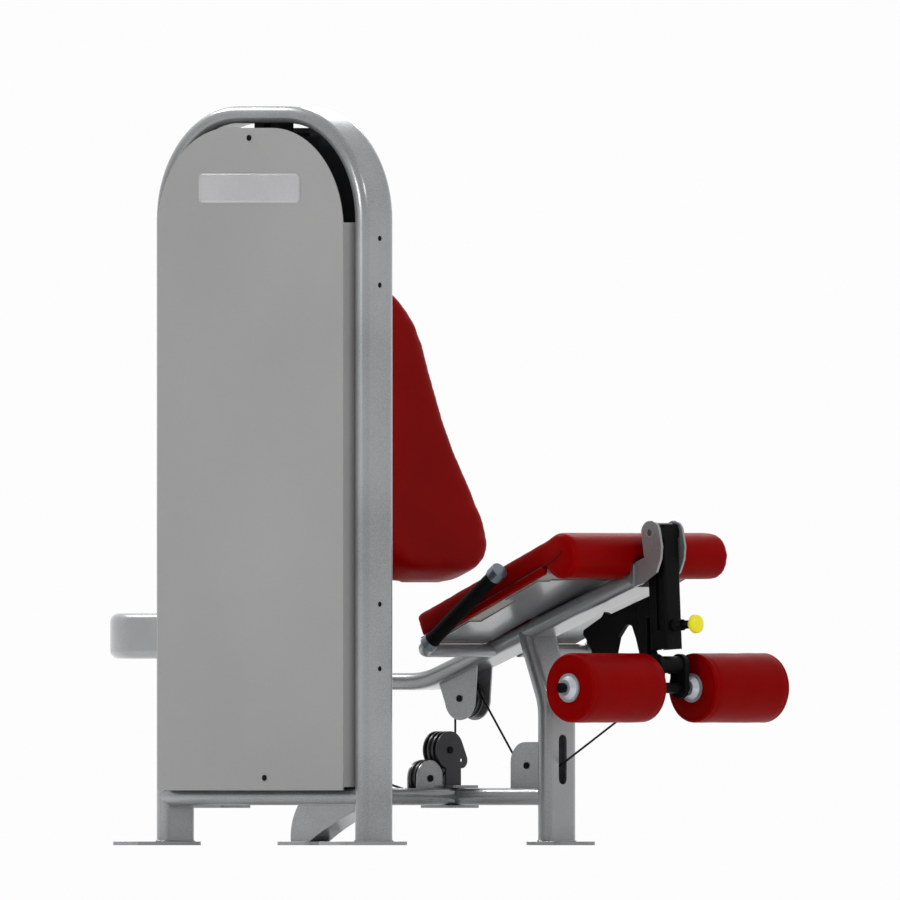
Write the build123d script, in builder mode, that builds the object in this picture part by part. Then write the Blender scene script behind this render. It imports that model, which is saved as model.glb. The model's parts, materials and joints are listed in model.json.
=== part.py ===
"""Leg extension machine: weight stack tower, seat frame, knee lever and cable drive.

Lengths are in millimetres. +X is the sitter's left, +Y points to the rear and +Z is up.
Every profile is written from the knee: x = 0 is the middle of the seat, y = 0 is the knee
axis and z = 0 is the floor. side(), front() and level() place those profiles in the part's
own frame, whose origin is the middle of the footprint on the floor.
"""
import os
from math import asin, atan2, cos, degrees, hypot, pi, radians, sin, tan

from build123d import *

# ---------------------------------------------------------------- driving dimensions
TUBE_W = 100.0  # flat oval frame tube, long side
TUBE_T = 38.0  # flat oval frame tube, short side
WALL = 3.0
PLATE = 8.0  # floor plates
ANCHOR_R = 6.5

# tower
TOWER_X = -758.0
LEG_FRONT = 145.5  # y of the two tower legs
LEG_REAR = 763.0
TOWER_TOP = 1626.0
ARCH_R = 232.0  # bend of the arch at the tube's middle
BASE_Z = 107.0  # middle of every low tube
PANEL_X = 76.0  # tower middle to the face of either guard
PANEL_TOP = 1578.0
PANEL_BOTTOM = 120.6
PANEL_R = 222.0
FLANGE_TOP = 1370.0  # the guards' side flanges stop short of their round corners
OUTER_SCREWS = ((457.0, 1556.0), (409.0, 148.0))
GUARD_SCREWS = (1335.0, 1232.0, 530.0, 388.0)  # heights on the front leg
SHEET = 2.0
STACK_Y = 454.0
ROD_GAP = 98.0  # guide rods, each side of the stack's middle
ROD_R = 12.5
ROD_TOP = 1416.0
PLATE_H = 25.0
LIFTED = 5
RESTING = 11
STACK_Z = 166.0  # underside of the lowest weight
HEAD_H = 40.0

# centre frame
POST_Y = 334.5
BEAM_FRONT = (57.0, 588.0)
BEAM_BEND = (713.0, 360.0)
MAST_Y = 1009.0
HOOP_Z = 460.0
HOOP_R = 120.0
CROSS_Y = 650.0
BASE_END = 1108.0
SLEEVE = 64.0
SLEEVE_Z = 720.0
SLEEVE_FRONT = 905.0
SLEEVE_REAR = 1050.0
SLIDE_REAR = 1150.0
BACK_PIN_Y = 940.0

# knee lever
KNEE_Z = 687.0
LEAN = 3.0  # the lever's lower end stands forward
LEVER_HALF = 24.0
LEVER_FRONT = -21.0
LEVER_BACK = 32.6
LEVER_TOP = 18.0
LEVER_BOTTOM = -256.4
EARS = ((-47.0, 6.0), (26.0, 5.0))  # x and thickness of the knee bracket's two cheeks
HUB = (-40.5, 25.5)  # ends of the lever's hub, between the cheeks
AXLE_R = 8.0
FIT = 0.05  # running clearance on a radius

# shin rollers
YOKE_Y, YOKE_Z = -11.0, 397.0
ROLLER_Z = 346.0
ROLLER_R = 76.35
ROLLER_IN = 76.0
ROLLER_OUT = 306.0
NUT = 12.0  # length of each axle nut

# pulleys and cable
PITCH_R = 38.0
RIM_R = 41.3
PULLEY_HALF = 9.0
CABLE_R = 2.4
P1 = (402.8, 175.1)  # y, z in the seat's middle plane
P2 = (CROSS_Y - PITCH_R, 322.7)
P3 = (-PITCH_R, 209.4)  # x, z in the cross tube's plane
P4 = (-94.0, 147.0)
P5 = (TOWER_X + PITCH_R, 296.0)
TOP_PULLEY_Z = 1480.0
P6 = (CROSS_Y - PITCH_R, TOP_PULLEY_Z)  # y, z in the tower's plane
P7 = (STACK_Y + PITCH_R, TOP_PULLEY_Z)
CAM_HUB = (104.4, 423.0)
CAM_R = 116.0
TIE = (24.7, 339.5)  # where the cable's eye is pinned to the cam

# cushions
SEAT_HALF = 238.0
SEAT_ANGLE = 22.6
SEAT_ROLL = (87.5, 637.3)
SEAT_ROLL_R = 50.5
SEAT_REAR = (540.0, 503.0)  # upper rear edge
SEAT_THICK = 68.0
BOARD = 12.0  # plywood under each cushion
PAN = 3.0  # sheet metal under the seat
BACK_ANGLE = 22.0
BACK_FRONT = (708.0, 663.0)  # a point of the back pad's front face
BACK_THICK = 84.0
BACK_HALF_WIDTHS = (  # height up the pad, half width there
    (-65, 60), (-58, 104), (-36, 148), (0, 171), (60, 176), (135, 164), (222, 145), (300, 140),
    (400, 142), (512, 144), (560, 126), (602, 94), (640, 44),
)

# handles
HANDLE_X = 258.0
HANDLE_R = 14.5
HANDLE_START = (495.0, 428.0)
HANDLE_END = (253.0, 605.0)

# spring plungers
PIN_REACH = 56.0
PIN_STEM_R = 7.5
KNOB_R = 21.0
KNOB_H = 22.0
LEVER_PIN_DROP = 205.0  # below the knee axis, along the lever

# the knee, measured from the middle of the footprint; the lever's knob stands furthest forward
KNOB_OUT = KNOB_H + PIN_REACH + 1 - LEVER_FRONT
FRONT_END = -(KNOB_OUT * cos(radians(LEAN)) + (LEVER_PIN_DROP + KNOB_R - 9) * sin(radians(LEAN)))
REAR_END = 1150.0
LEFT_END = TOWER_X - 147.0
RIGHT_END = 336.0
SEAT_X = -(LEFT_END + RIGHT_END) / 2
KNEE_Y = -(FRONT_END + REAR_END) / 2

os.makedirs("parts", exist_ok=True)


# ---------------------------------------------------------------- helpers
def side(x):
    """Plane across X: sketch axes are y and z, and it faces +X."""
    return Plane(origin=(SEAT_X + x, KNEE_Y, 0), x_dir=(0, 1, 0), z_dir=(1, 0, 0))


def front(y):
    """Plane across Y: sketch axes are x and z, and it faces -Y."""
    return Plane(origin=(SEAT_X, KNEE_Y + y, 0), x_dir=(1, 0, 0), z_dir=(0, -1, 0))


def level(z):
    """Plane across Z: sketch axes are x and y, and it faces up."""
    return Plane(origin=(SEAT_X, KNEE_Y, z))


def leaning(x):
    """Plane across X in the lever's own lean: the origin is the knee axis."""
    lean = radians(LEAN)
    origin = (SEAT_X + x, KNEE_Y, KNEE_Z)
    return Plane(origin=origin, x_dir=(0, cos(lean), -sin(lean)), z_dir=(1, 0, 0))


def lever_front():
    """Plane along the lever's front face, facing forward: sketch axes are x and up."""
    lean = radians(LEAN)
    face = leaning(0).from_local_coords((LEVER_FRONT, 0, 0))
    return Plane(origin=face, x_dir=(1, 0, 0), z_dir=(0, -cos(lean), sin(lean)))


def point(x, y, z):
    """A knee point in the part's frame."""
    return Vector(SEAT_X + x, KNEE_Y + y, z)


def save(piece, name):
    piece.part.label = name
    export_step(piece.part, f"parts/{name}.step")


def oval(width=TUBE_W, height=TUBE_T, rotation=0.0):
    """Hollow flat oval section, drawn in the current sketch."""
    SlotOverall(width, height, rotation=rotation)
    SlotOverall(width - 2 * WALL, height - 2 * WALL, rotation=rotation, mode=Mode.SUBTRACT)


def turned(centre, radius, angle):
    """A point of a circle, by its angle in radians."""
    return (centre[0] + radius * cos(angle), centre[1] + radius * sin(angle))


# ---------------------------------------------------------------- tower
def make_tower_arch():
    with BuildPart() as tower_arch:
        with BuildLine(side(TOWER_X)) as path:
            FilletPolyline(
                (LEG_FRONT, PLATE),
                (LEG_FRONT, TOWER_TOP - TUBE_T / 2),
                (LEG_REAR, TOWER_TOP - TUBE_T / 2),
                (LEG_REAR, PLATE),
                radius=ARCH_R,
            )
        with BuildSketch(level(PLATE)):
            with Locations((TOWER_X, LEG_FRONT)):
                oval()
        sweep(path=path.line)
        with BuildSketch(front(LEG_FRONT - TUBE_T / 2)):
            with Locations(*[(TOWER_X, z) for z in GUARD_SCREWS]):
                Circle(6)
        extrude(amount=-2 * WALL, mode=Mode.SUBTRACT)
    save(tower_arch, "tower_arch")


def tube_envelope(plane, place, length, rotation=0.0):
    """Solid flat oval bar, used only to cut tube ends to their neighbour's outline."""
    with BuildPart(mode=Mode.PRIVATE) as envelope:
        with BuildSketch(plane):
            with Locations(place):
                SlotOverall(TUBE_W, TUBE_T, rotation=rotation)
        extrude(amount=length)
    return envelope.part


def make_tower_base():
    legs = [tube_envelope(level(0), (TOWER_X, y), 300) for y in (LEG_FRONT, LEG_REAR)]
    with BuildPart() as tower_base_bar:
        with BuildSketch(front(LEG_REAR)):
            with Locations((TOWER_X, BASE_Z)):
                oval()
        extrude(amount=LEG_REAR - LEG_FRONT)
        add(legs, mode=Mode.SUBTRACT)
    save(tower_base_bar, "tower_base_bar")


def make_foot_plates():
    with BuildPart() as foot_plates:
        for y, outward in ((LEG_FRONT, -1), (LEG_REAR, 1)):
            with BuildSketch(level(0)):
                with Locations((TOWER_X - 45, y + outward * 12)):
                    RectangleRounded(204, 86, 14)
                with Locations((TOWER_X - 120, y)):
                    Circle(ANCHOR_R, mode=Mode.SUBTRACT)
            extrude(amount=PLATE)
        for y, holes_y in ((322, 288), (REAR_END - 53, REAR_END - 25)):
            with BuildSketch(level(0)):
                with Locations((0, y)):
                    RectangleRounded(124, 106, 14)
                with Locations((-45, holes_y), (45, holes_y)):
                    Circle(ANCHOR_R, mode=Mode.SUBTRACT)
            extrude(amount=PLATE)
    save(foot_plates, "foot_plates")


def guard_outline():
    """Outline of a tower guard: square at the floor, round at the top."""
    with BuildLine() as outline:
        FilletPolyline(
            (LEG_FRONT + 20, PANEL_BOTTOM),
            (LEG_FRONT + 20, PANEL_TOP),
            (LEG_REAR - 20.5, PANEL_TOP),
            (LEG_REAR - 20.5, PANEL_BOTTOM),
            radius=PANEL_R,
        )
        Line((LEG_REAR - 20.5, PANEL_BOTTOM), (LEG_FRONT + 20, PANEL_BOTTOM))
    make_face(outline.edges())


def make_guard(name, facing, windows, screws):
    """A sheet tray: one face, and a flange along each straight side."""
    face_x = TOWER_X + facing * PANEL_X
    flange_bottom = BASE_Z + TUBE_T / 2 + 2
    flange_height = FLANGE_TOP - flange_bottom
    with BuildPart() as guard:
        with BuildSketch(side(face_x)):
            guard_outline()
            for y, z, width, height in windows:
                with Locations((y, z)):
                    RectangleRounded(width, height, 10, mode=Mode.SUBTRACT)
            for place in screws:
                with Locations(place):
                    Circle(4, mode=Mode.SUBTRACT)
        extrude(amount=-facing * SHEET)
        with BuildSketch(side(face_x - facing * SHEET)):
            for y in (LEG_FRONT + 20 + SHEET / 2, LEG_REAR - 20.5 - SHEET / 2):
                with Locations((y, flange_bottom + flange_height / 2)):
                    Rectangle(SHEET, flange_height)
        extrude(amount=-facing * 46)
    save(guard, name)


def make_guards():
    make_guard("outer_guard", -1, (), OUTER_SCREWS)
    windows = ((STACK_Y, 690, 130, 1000), (CROSS_Y, 230, 112, 230))
    make_guard("inner_guard", 1, windows, ())

    with BuildPart() as guard_screws:
        for y, z in OUTER_SCREWS:
            with BuildSketch(side(TOWER_X - PANEL_X - 2)):
                with Locations((y, z)):
                    Circle(6.5)
            extrude(amount=2)
            with BuildSketch(side(TOWER_X - PANEL_X)):
                with Locations((y, z)):
                    Circle(3.8)
            extrude(amount=12)
        for z in GUARD_SCREWS:
            with BuildSketch(front(LEG_FRONT - TUBE_T / 2 + 8)):
                with Locations((TOWER_X, z)):
                    Circle(5.8)
            extrude(amount=6)
    save(guard_screws, "guard_screws")

    with BuildPart() as badge_plate:
        with BuildSketch(side(TOWER_X - PANEL_X)):
            with Locations((456, 1445.5)):
                RectangleRounded(314, 65, 12)
        extrude(amount=-1.5)
    save(badge_plate, "badge_plate")


def make_stack_frame():
    rods = ((TOWER_X, STACK_Y - ROD_GAP), (TOWER_X, STACK_Y + ROD_GAP))
    bottom = BASE_Z + TUBE_T / 2
    with BuildPart() as stack_bumpers:
        with BuildSketch(level(bottom + 10)):
            with Locations(*rods):
                Circle(24)
                Circle(ROD_R + 0.1, mode=Mode.SUBTRACT)
        extrude(amount=STACK_Z - bottom - 10)
    save(stack_bumpers, "stack_bumpers")

    with BuildPart() as guide_rods:
        with BuildSketch(level(bottom)):
            with Locations(*rods):
                Circle(ROD_R)
        extrude(amount=ROD_TOP - bottom)
    save(guide_rods, "guide_rods")

    cable_holes = ((TOWER_X, STACK_Y), (TOWER_X, CROSS_Y))
    with BuildPart() as top_bracket:
        with BuildSketch(level(ROD_TOP - 12)):
            with Locations((TOWER_X, 510)):
                RectangleRounded(90, 350, 10)
            with Locations(*rods):
                Circle(ROD_R + 0.1, mode=Mode.SUBTRACT)
            with Locations(*cable_holes):
                Circle(10, mode=Mode.SUBTRACT)
        extrude(amount=8)
        for x in (TOWER_X - 19, TOWER_X + 15):
            with BuildSketch(side(x)):
                with BuildLine():
                    Polyline(
                        (442, ROD_TOP - 4), (442, 1560), (560, 1560), (662, 1528),
                        (662, ROD_TOP - 4), (442, ROD_TOP - 4))
                make_face()
                with Locations(P6, P7):
                    Circle(6.05, mode=Mode.SUBTRACT)
            extrude(amount=4)
        with BuildSketch(level(1560)):
            with Locations((TOWER_X, 470)):
                Rectangle(70, 180)
        extrude(amount=8)
        with BuildSketch(level(1568)):
            with Locations((TOWER_X, 430), (TOWER_X, 482)):
                Rectangle(40, 30)
        extrude(amount=TOWER_TOP - TUBE_T - 1568)
    save(top_bracket, "top_bracket")


def weight_section():
    """One weight seen from above: guide holes, stem hole and lightly rounded corners."""
    with Locations((TOWER_X, STACK_Y)):
        RectangleRounded(110, 320, 6)
        Circle(17, mode=Mode.SUBTRACT)
    with Locations((TOWER_X, STACK_Y - ROD_GAP), (TOWER_X, STACK_Y + ROD_GAP)):
        Circle(ROD_R + 1.2, mode=Mode.SUBTRACT)


def pin_holes(first, count, depth):
    """Pin holes on the user's side, one in the middle of each weight."""
    with BuildSketch(side(TOWER_X + 55)) as holes:
        for i in range(count):
            with Locations((STACK_Y, STACK_Z + (first + i + 0.5) * PLATE_H)):
                Circle(5.5)
    extrude(holes.sketch, amount=-depth, mode=Mode.SUBTRACT)


def make_weights():
    with BuildPart() as resting_weights:
        for i in range(RESTING):
            with BuildSketch(level(STACK_Z + i * PLATE_H)):
                weight_section()
            extrude(amount=PLATE_H - 0.4)
        pin_holes(0, RESTING, 60)
    save(resting_weights, "resting_weights")

    with BuildPart() as lifted_weights:
        for i in range(RESTING, RESTING + LIFTED):
            with BuildSketch(level(STACK_Z + i * PLATE_H)):
                weight_section()
            extrude(amount=PLATE_H - 0.4)
        pin_holes(RESTING, LIFTED, 60)
    save(lifted_weights, "lifted_weights")

    head_z = STACK_Z + (RESTING + LIFTED) * PLATE_H
    with BuildPart() as stack_head:
        with BuildSketch(level(head_z)):
            with Locations((TOWER_X, STACK_Y)):
                RectangleRounded(110, 320, 6)
            with Locations((TOWER_X, STACK_Y - ROD_GAP), (TOWER_X, STACK_Y + ROD_GAP)):
                Circle(ROD_R + 1.2, mode=Mode.SUBTRACT)
        extrude(amount=HEAD_H)
        with BuildSketch(level(STACK_Z + 8)):
            with Locations((TOWER_X, STACK_Y)):
                Circle(15)
        extrude(amount=head_z - STACK_Z - 8)
        with BuildSketch(level(head_z)):
            with Locations((TOWER_X, STACK_Y)):
                Circle(12)
        extrude(amount=HEAD_H + 30)
        with BuildSketch(side(TOWER_X)):
            for i in range(RESTING + LIFTED):
                with Locations((STACK_Y, STACK_Z + (i + 0.5) * PLATE_H)):
                    Circle(5.5)
        extrude(amount=40, both=True, mode=Mode.SUBTRACT)
        with BuildSketch(level(head_z + HEAD_H + 30)):
            with Locations((TOWER_X, STACK_Y)):
                Circle(CABLE_R + 0.1)
        extrude(amount=-14, mode=Mode.SUBTRACT)
    save(stack_head, "stack_head")

    pin_z = STACK_Z + (RESTING + 0.5) * PLATE_H
    with BuildPart() as selector_pin:
        with BuildSketch(side(TOWER_X - 16)):
            with Locations((STACK_Y, pin_z)):
                Circle(4.8)
        extrude(amount=76)
        with BuildSketch(side(TOWER_X + 57)):
            with Locations((STACK_Y, pin_z)):
                Circle(13)
        extrude(amount=32)
        fillet(selector_pin.faces().sort_by(Axis.X)[-1].edges(), 5)
    save(selector_pin, "selector_pin")


# ---------------------------------------------------------------- centre frame
def beam_height(y):
    """Height of the seat beam's middle at y."""
    (y0, z0), (y1, z1) = BEAM_FRONT, BEAM_BEND
    return max(z0 + (z1 - z0) * (y - y0) / (y1 - y0), z1)


def beam_solid(wall):
    """The seat beam as a tube, or as a solid bar when wall is 0."""
    with BuildPart(mode=Mode.PRIVATE) as bar:
        with BuildLine(side(0)) as path:
            FilletPolyline(
                BEAM_FRONT, BEAM_BEND, (MAST_Y - TUBE_T / 2, BEAM_BEND[1]), radius=260)
        start = path.line @ 0
        with BuildSketch(Plane(origin=start, x_dir=(1, 0, 0), z_dir=path.line % 0)):
            SlotOverall(TUBE_W, TUBE_T)
            if wall:
                SlotOverall(TUBE_W - 2 * wall, TUBE_T - 2 * wall, mode=Mode.SUBTRACT)
        sweep(path=path.line)
        with BuildSketch(side(0)):
            with Locations((BEAM_FRONT[0] - 30, BEAM_FRONT[1])):
                Rectangle(60, 120)
        extrude(amount=TUBE_W, both=True, mode=Mode.SUBTRACT)
    return bar.part


def make_seat_beam():
    with BuildPart() as seat_beam:
        add(beam_solid(WALL))
    save(seat_beam, "seat_beam")


def make_post():
    lean = radians(22)
    top = (POST_Y + 180 * tan(lean), 490)
    with BuildPart() as front_post:
        with BuildLine(side(0)) as path:
            FilletPolyline((POST_Y, PLATE), (POST_Y, 310), top, radius=140)
        with BuildSketch(level(PLATE)):
            with Locations((0, POST_Y)):
                oval()
        sweep(path=path.line)
        with BuildSketch(front(POST_Y)):
            with Locations((0, 188.7)):
                SlotOverall(109.5, 25, rotation=90)
        extrude(amount=TUBE_T, both=True, mode=Mode.SUBTRACT)
        add(beam_solid(0), mode=Mode.SUBTRACT)
        slope = atan2(BEAM_FRONT[1] - BEAM_BEND[1], BEAM_BEND[0] - BEAM_FRONT[0])
        middle = Plane(
            origin=point(0, *BEAM_FRONT), x_dir=(1, 0, 0), z_dir=(0, sin(slope), cos(slope)))
        split(bisect_by=middle, keep=Keep.BOTTOM)
    save(front_post, "front_post")


def make_base_tube():
    post = tube_envelope(level(0), (0, POST_Y), 300)
    with BuildPart() as base_tube:
        with BuildSketch(front(BASE_END)):
            with Locations((0, BASE_Z)):
                oval()
        extrude(amount=BASE_END - POST_Y)
        with BuildSketch(front(BASE_END)):
            with Locations((0, BASE_Z)):
                SlotOverall(TUBE_W, TUBE_T)
        extrude(amount=WALL)
        add(post, mode=Mode.SUBTRACT)
    save(base_tube, "base_tube")

    bottom = BASE_Z - TUBE_T / 2
    with BuildPart() as rear_leg:
        with BuildSketch(side(-31)):
            with BuildLine():
                ThreePointArc((1073, PLATE), (1000, 47), (880, bottom))
                Line((880, bottom), (1108, bottom))
                ThreePointArc((1108, bottom), (1125, 56), (1131, PLATE))
                Line((1131, PLATE), (1073, PLATE))
            make_face()
        extrude(amount=62)
    save(rear_leg, "rear_leg")


def make_cross_tube():
    base = tube_envelope(front(900), (0, BASE_Z), 600)
    tower = tube_envelope(front(900), (TOWER_X, BASE_Z), 600)
    across = Plane(origin=point(TOWER_X, CROSS_Y, BASE_Z), x_dir=(0, 1, 0), z_dir=(1, 0, 0))
    with BuildPart() as cross_tube:
        with BuildSketch(across):
            oval()
        extrude(amount=-TOWER_X)
        add([base, tower], mode=Mode.SUBTRACT)
        with BuildSketch(level(BASE_Z)):
            with Locations((-118, CROSS_Y)):
                SlotOverall(150, 28)
        extrude(amount=TUBE_T, mode=Mode.SUBTRACT)
    save(cross_tube, "cross_tube")


def make_base_plates():
    """Plates bolted over and under the base tubes' crossings, and the weight stack's seat."""
    top = BASE_Z + TUBE_T / 2
    bottom = BASE_Z - TUBE_T / 2
    rods = ((TOWER_X, STACK_Y - ROD_GAP), (TOWER_X, STACK_Y + ROD_GAP))
    with BuildPart() as base_plates:
        with BuildSketch(level(top)):
            with Locations((-11, CROSS_Y)):
                RectangleRounded(79, 93, 6)
        extrude(amount=6)
        with BuildSketch(level(bottom - 6)):
            with Locations((-17, CROSS_Y), (TOWER_X + 30, CROSS_Y)):
                RectangleRounded(95, 93, 6)
        extrude(amount=6)
        with BuildSketch(level(top)):
            with Locations((TOWER_X, STACK_Y)):
                RectangleRounded(96, 300, 8)
            with Locations(*rods):
                Circle(ROD_R + 0.1, mode=Mode.SUBTRACT)
        extrude(amount=10)
    save(base_plates, "base_plates")


def make_mast():
    bottom = BASE_Z + TUBE_T / 2
    with BuildPart() as back_mast:
        with BuildSketch(level(bottom)):
            with Locations((0, MAST_Y)):
                oval()
        extrude(amount=SLEEVE_Z - SLEEVE / 2 - bottom)
    save(back_mast, "back_mast")

    mast = tube_envelope(level(0), (0, MAST_Y), 800)
    with BuildPart() as rear_hoop:
        with BuildLine(level(HOOP_Z)) as path:
            FilletPolyline(
                (TOWER_X, LEG_REAR + TUBE_T / 2), (TOWER_X, MAST_Y), (0, MAST_Y), radius=HOOP_R)
        with BuildSketch(front(LEG_REAR + TUBE_T / 2)):
            with Locations((TOWER_X, HOOP_Z)):
                oval(rotation=90)
        sweep(path=path.line)
        add(mast, mode=Mode.SUBTRACT)
        with BuildSketch(level(0)):
            with Locations((25, MAST_Y)):
                Rectangle(100, 120)
        extrude(amount=700, mode=Mode.SUBTRACT)
    save(rear_hoop, "rear_hoop")


def make_knee_mount():
    with BuildPart() as knee_bracket:
        with BuildSketch(front(57)):
            with Locations((0, 594.5)):
                RectangleRounded(100, 53, 8)
        extrude(amount=11)
        for x, thickness in EARS:
            with BuildSketch(side(x)):
                with BuildLine():
                    Polyline((46, 568), (46, 621), (15.5, 633), (16.5, 638), (25, 690))
                    ThreePointArc((25, 690), (-3, 714), (-31, 690))
                    Polyline((-31, 690), (-38, 657), (-35, 629), (-22, 600), (19.6, 576), (46, 568))
                make_face()
                with Locations((0, KNEE_Z)):
                    Circle(AXLE_R, mode=Mode.SUBTRACT)
            extrude(amount=thickness)
    save(knee_bracket, "knee_bracket")

    with BuildPart() as knee_axle:
        with BuildSketch(side(EARS[0][0] + 2)):
            with Locations((0, KNEE_Z)):
                Circle(AXLE_R)
        extrude(amount=sum(EARS[1]) - EARS[0][0] - 4)
    save(knee_axle, "knee_axle")


# ---------------------------------------------------------------- pulleys
def pulley_profile():
    """Half section of a pulley about its own axis: x is along the axis, y is the radius."""
    groove = PITCH_R - CABLE_R - 0.4
    with BuildLine() as outline:
        Polyline(
            (-PULLEY_HALF, 22), (-PULLEY_HALF, RIM_R), (-4.6, RIM_R), (-2.8, groove + 1.6),
            (-1.4, groove), (1.4, groove), (2.8, groove + 1.6), (4.6, RIM_R),
            (PULLEY_HALF, RIM_R), (PULLEY_HALF, 22), (6.5, 18), (6.5, 16 + FIT),
            (-6.5, 16 + FIT), (-6.5, 18), (-PULLEY_HALF, 22))
    make_face(outline.edges())


def make_pulley(name, centre, along):
    """A grooved pulley whose axis runs along X or along Y."""
    axis = Vector(1, 0, 0) if along == "x" else Vector(0, 1, 0)
    plane = Plane(origin=centre, x_dir=axis, z_dir=axis.cross(Vector(0, 0, 1)))
    with BuildPart() as pulley:
        with BuildSketch(plane):
            pulley_profile()
        revolve(axis=Axis(centre, axis))
    save(pulley, name)


PULLEYS = {
    "pulley_post": (point(0, *P1), "x", 25.0),
    "pulley_beam": (point(0, *P2), "x", 25.0),
    "pulley_turn": (point(P3[0], CROSS_Y, P3[1]), "y", 22.0),
    "pulley_low": (point(P4[0], CROSS_Y, P4[1]), "y", 16.0),
    "pulley_tower": (point(P5[0], CROSS_Y, P5[1]), "y", 16.0),
    "pulley_top_rear": (point(TOWER_X, *P6), "x", 19.0),
    "pulley_top_stack": (point(TOWER_X, *P7), "x", 19.0),
}


def across_axis(centre, along, distance):
    """Plane across a pulley's axis, some way along it."""
    axis = Vector(1, 0, 0) if along == "x" else Vector(0, 1, 0)
    return Plane(origin=centre + axis * distance, x_dir=(0, 0, 1), z_dir=axis)


def make_pulleys():
    for name, (centre, along, _) in PULLEYS.items():
        make_pulley(name, centre, along)

    with BuildPart() as pulley_axles:
        for centre, along, half in PULLEYS.values():
            with BuildSketch(across_axis(centre, along, -6)):
                Circle(16)
            extrude(amount=12)
            for start, length in ((6, half - 4 - 6), (-6, -(half - 4 - 6))):
                with BuildSketch(across_axis(centre, along, start)):
                    Circle(9)
                extrude(amount=length)
            with BuildSketch(across_axis(centre, along, -half - 3)):
                Circle(6)
            extrude(amount=2 * half + 6)
            for start in (-half - 3, half):
                with BuildSketch(across_axis(centre, along, start)):
                    Circle(7.5)
                extrude(amount=3)
    save(pulley_axles, "pulley_axles")


def make_pulley_brackets():
    """Pairs of side plates: at the post, under the beam, on the cross tube and in the tower."""
    bottom = BASE_Z + TUBE_T / 2
    under_beam = beam_height(P2[0]) - TUBE_T / 2
    with BuildPart() as pulley_brackets:
        for x in (-25, 21):
            with BuildSketch(side(x)):
                with BuildLine():
                    Polyline((453, 182), (453, bottom), (POST_Y + 19, bottom),
                             (POST_Y + 19, 227), (408, 227))
                    ThreePointArc((408, 227), turned((408, 182), 45, radians(45)), (453, 182))
                make_face()
                with Locations(P1):
                    Circle(6.05, mode=Mode.SUBTRACT)
            extrude(amount=4)
            with BuildSketch(side(x)):
                with BuildLine():
                    Polyline((P2[0] - 47.6, P2[1] + 2), (556, under_beam + 50),
                             (706, under_beam + 50), (P2[0] + 45, P2[1] - 10))
                    ThreePointArc((P2[0] + 45, P2[1] - 10), (P2[0], P2[1] - 47.6),
                                  (P2[0] - 47.6, P2[1] + 2))
                make_face()
                with Locations(P2):
                    Circle(6.05, mode=Mode.SUBTRACT)
            extrude(amount=4)
        for y in (CROSS_Y - 12, CROSS_Y + 16):
            with BuildSketch(front(y)):
                with Locations(P4):
                    Circle(40)
                with Locations((P4[0], bottom + 10)):
                    Rectangle(80, 20)
                with Locations((P4[0], bottom - 30)):
                    Rectangle(120, 60, mode=Mode.SUBTRACT)
                with Locations(P4):
                    Circle(6.05, mode=Mode.SUBTRACT)
            extrude(amount=4)
            with BuildSketch(front(y)):
                with Locations(P5):
                    Circle(22)
                with Locations((P5[0], (P5[1] + bottom) / 2)):
                    Rectangle(44, P5[1] - bottom)
                with Locations(P5):
                    Circle(6.05, mode=Mode.SUBTRACT)
            extrude(amount=4)
        add(beam_solid(0), mode=Mode.SUBTRACT)
        with BuildSketch(side(0)):
            with BuildLine():
                Polyline((500, beam_height(500)), (760, beam_height(760)), (760, 520),
                         (500, 520), (500, beam_height(500)))
            make_face()
        extrude(amount=60, both=True, mode=Mode.SUBTRACT)
    save(pulley_brackets, "pulley_brackets")

    with BuildPart() as turn_pulley_bracket:
        for y in (CROSS_Y - 18, CROSS_Y + 22):
            with BuildSketch(front(y)):
                with Locations(P3):
                    Circle(41.4)
                with Locations((-2, 187)):
                    Circle(18)
                make_hull()
                with Locations((-27, (bottom + 6 + 198) / 2)):
                    Rectangle(46, 198 - bottom - 6)
                with Locations(P3):
                    Circle(6.05, mode=Mode.SUBTRACT)
                with Locations((-2, 187)):
                    Circle(4, mode=Mode.SUBTRACT)
            extrude(amount=4)
    save(turn_pulley_bracket, "turn_pulley_bracket")


# ---------------------------------------------------------------- cable
def lever_run():
    """Straight run from the cam to the first pulley: its two ends and its angle."""
    dy, dz = P1[0] - TIE[0], P1[1] - TIE[1]
    angle = atan2(dz, dy) - asin(PITCH_R / hypot(dy, dz))
    return TIE, turned(P1, PITCH_R, angle - radians(90)), angle


def rising_angle():
    """Angle of the crossed run between the post pulley and the beam pulley."""
    dy, dz = P2[0] - P1[0], P2[1] - P1[1]
    return atan2(dz, dy) + asin(2 * PITCH_R / hypot(dy, dz))


def wound(centre, start, end, to3d):
    """Arc round a pulley between two angles in degrees."""
    points = [turned(centre, PITCH_R, radians(a)) for a in (start, (start + end) / 2, end)]
    ThreePointArc(*[to3d(*p) for p in points])


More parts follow.
